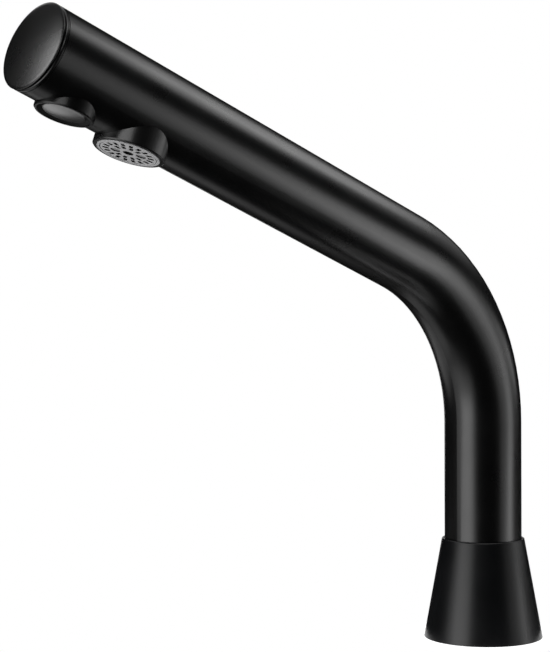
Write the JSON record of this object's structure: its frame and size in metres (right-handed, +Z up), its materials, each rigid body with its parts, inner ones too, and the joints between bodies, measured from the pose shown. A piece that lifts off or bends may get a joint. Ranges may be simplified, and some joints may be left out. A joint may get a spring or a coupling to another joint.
{
  "type": "sensor tap",
  "caption": "Deck-mounted touch-free tap: bent tube spout with a sensor window and an outlet under its end, a conical base cover and a clamp below the deck.",
  "frame": {"origin": "on the riser's axis at the deck's top face, between the two fixing studs", "axes": "+Z up along the riser, -Y towards the spout's end, +X to the right of someone facing the spout"},
  "size_m": [0.0522, 0.27, 0.3183],
  "materials": {
    "coated_metal": "satin black coating",
    "cover_metal": "satin black coating",
    "lens_plastic": "satin, dark infrared window",
    "black_plastic": "matte moulded",
    "grey_plastic": "satin moulded",
    "white_plastic": "matte moulded",
    "rubber": "matte",
    "brass": "turned",
    "steel": "turned or zinc plated",
    "copper": "enamelled copper wire",
    "circuit_board": "solder-masked board",
    "clear_diode": "clear epoxy",
    "dark_diode": "dark epoxy",
    "hose_plastic": "extruded",
    "lead_jacket": "extruded cable jacket"
  },
  "bodies": {
    "tap": {"spout_tube": "coated_metal", "end_cap": "coated_metal", "sensor_boss": "coated_metal", "outlet_boss": "coated_metal", "sensor_lens": "lens_plastic", "sensor_bezel": "black_plastic", "sensor_housing": "black_plastic", "coil_bobbin": "black_plastic", "power_socket": "black_plastic", "aerator_filter": "black_plastic", "flow_regulator": "black_plastic", "aerator_housing": "grey_plastic", "flow_straightener": "grey_plastic", "check_valve_body": "white_plastic", "inlet_strainer": "white_plastic", "cap_oring": "rubber", "sensor_gasket": "rubber", "aerator_gasket": "rubber", "elbow_oring": "rubber", "valve_oring": "rubber", "core_oring": "rubber", "base_gasket": "rubber", "nipple_oring": "rubber", "outlet_elbow": "brass", "valve_body": "brass", "base_flange": "brass", "inlet_nipple": "brass", "hose_ferrules": "steel", "core_tube": "steel", "plunger_spring": "steel", "fixed_core": "steel", "coil_yoke": "steel", "coil_nut": "steel", "tube_screws": "steel", "check_spring": "steel", "fixing_studs": "steel", "coil_winding": "copper", "sensor_board": "circuit_board", "ir_emitter": "clear_diode", "ir_receiver": "dark_diode", "water_hose": "hose_plastic", "power_lead": "lead_jacket", "valve_lead": "lead_jacket"},
    "cover": {"cover_skirt": "cover_metal", "skirt_oring": "rubber"},
    "deck_clamp": {"clamp_washer": "rubber", "clamp_plate": "steel", "stud_nuts": "steel"},
    "valve_plunger": {"plunger": "steel", "plunger_seal": "rubber"},
    "check_valve_poppet": {"check_poppet": "white_plastic", "check_seal": "rubber"}
  },
  "joints": [
    {"name": "cover_lift", "type": "slide", "parent": "tap", "child": "cover", "axis": [0, 0, 1], "range_m": [0, 0.045]},
    {"name": "clamp_travel", "type": "slide", "parent": "tap", "child": "deck_clamp", "axis": [0, 0, 1], "range_m": [-0.013, 0.012]},
    {"name": "plunger_lift", "type": "slide", "parent": "tap", "child": "valve_plunger", "axis": [0, 0, 1], "range_m": [0, 0.0015], "stiffness_N_per_m": 300, "springref_m": -0.005, "deforming": ["plunger_spring"]},
    {"name": "poppet_lift", "type": "slide", "parent": "tap", "child": "check_valve_poppet", "axis": [0, 0, 1], "range_m": [0, 0.0025], "stiffness_N_per_m": 60, "springref_m": -0.004, "deforming": ["check_spring"]}
  ]
}
